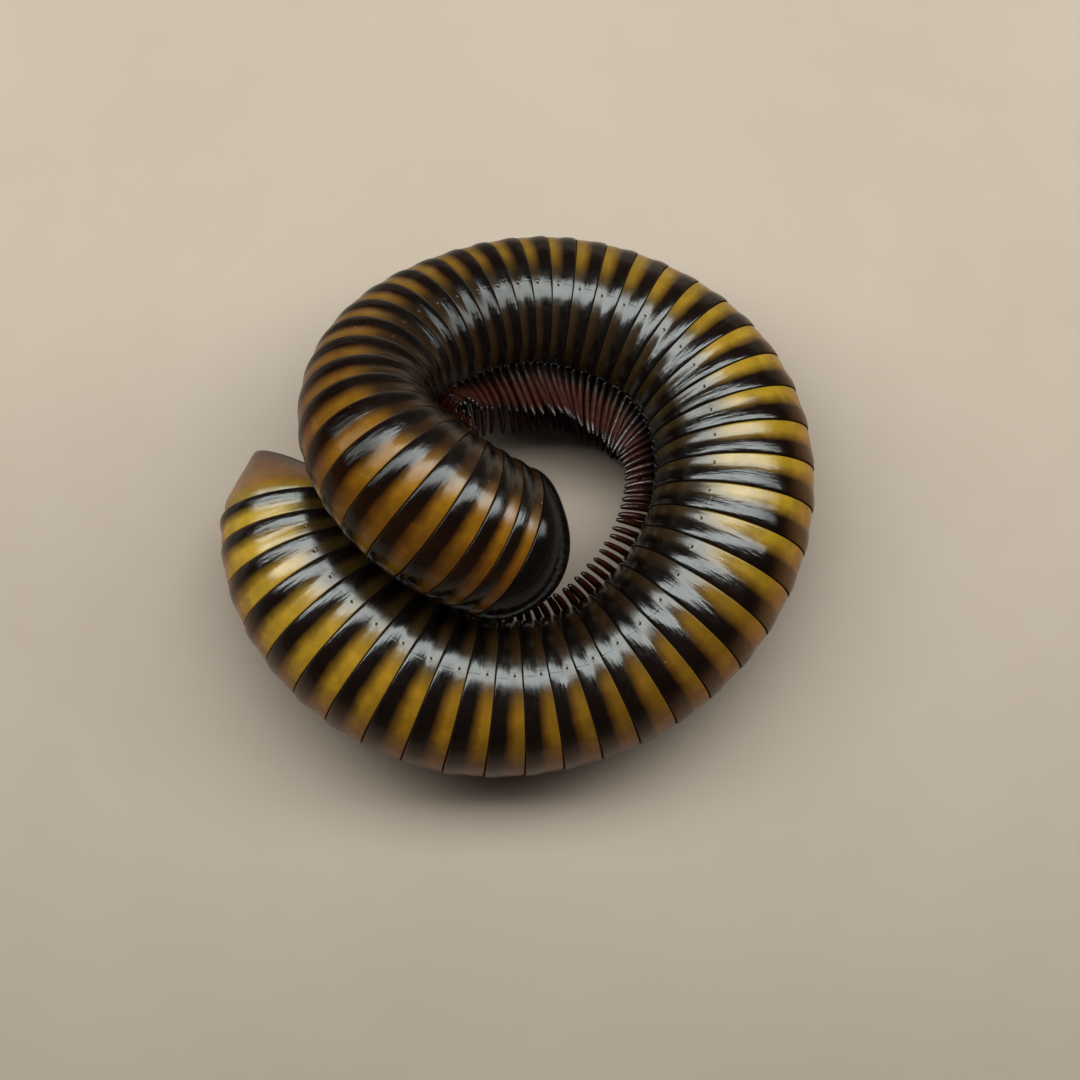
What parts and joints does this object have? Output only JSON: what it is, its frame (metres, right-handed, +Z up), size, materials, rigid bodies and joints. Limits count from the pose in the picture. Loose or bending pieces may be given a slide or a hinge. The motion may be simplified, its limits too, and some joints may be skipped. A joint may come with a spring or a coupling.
{
  "type": "giant millipede model",
  "caption": "Life-size giant millipede coiled on its side, banded yellow and black, its front end laid over its tail.",
  "frame": {"origin": "on the floor, under the middle of the coil's bounding box", "axes": "+Z up from the floor, +X to the right in the picture, +Y away from the camera"},
  "size_m": [0.053, 0.0492, 0.0255],
  "materials": {
    "ring_cuticle": "glossy banded cuticle",
    "collum_cuticle": "glossy black-brown cuticle",
    "head_cuticle": "glossy black-brown cuticle",
    "mouthpart_cuticle": "satin red-brown cuticle",
    "antenna_cuticle": "satin red-brown cuticle",
    "eye_lenses": "glossy black lenses",
    "telson_cuticle": "glossy tan cuticle",
    "valve_cuticle": "satin pale brown cuticle"
  },
  "bodies": {
    "root": {"trunk_01": "ring_cuticle", "trunk_02": "ring_cuticle", "trunk_03": "ring_cuticle", "trunk_04": "ring_cuticle", "trunk_05": "ring_cuticle", "trunk_06": "ring_cuticle", "trunk_07": "ring_cuticle", "trunk_08": "ring_cuticle", "trunk_09": "ring_cuticle", "trunk_10": "ring_cuticle", "collum": "collum_cuticle", "head": "head_cuticle", "eye_left": "eye_lenses", "eye_right": "eye_lenses", "antenna_left": "antenna_cuticle", "antenna_right": "antenna_cuticle", "mandible_left": "mouthpart_cuticle", "mandible_right": "mouthpart_cuticle", "chin": "mouthpart_cuticle", "telson": "telson_cuticle", "valve_left": "valve_cuticle", "valve_right": "valve_cuticle"}
  },
  "joints": []
}
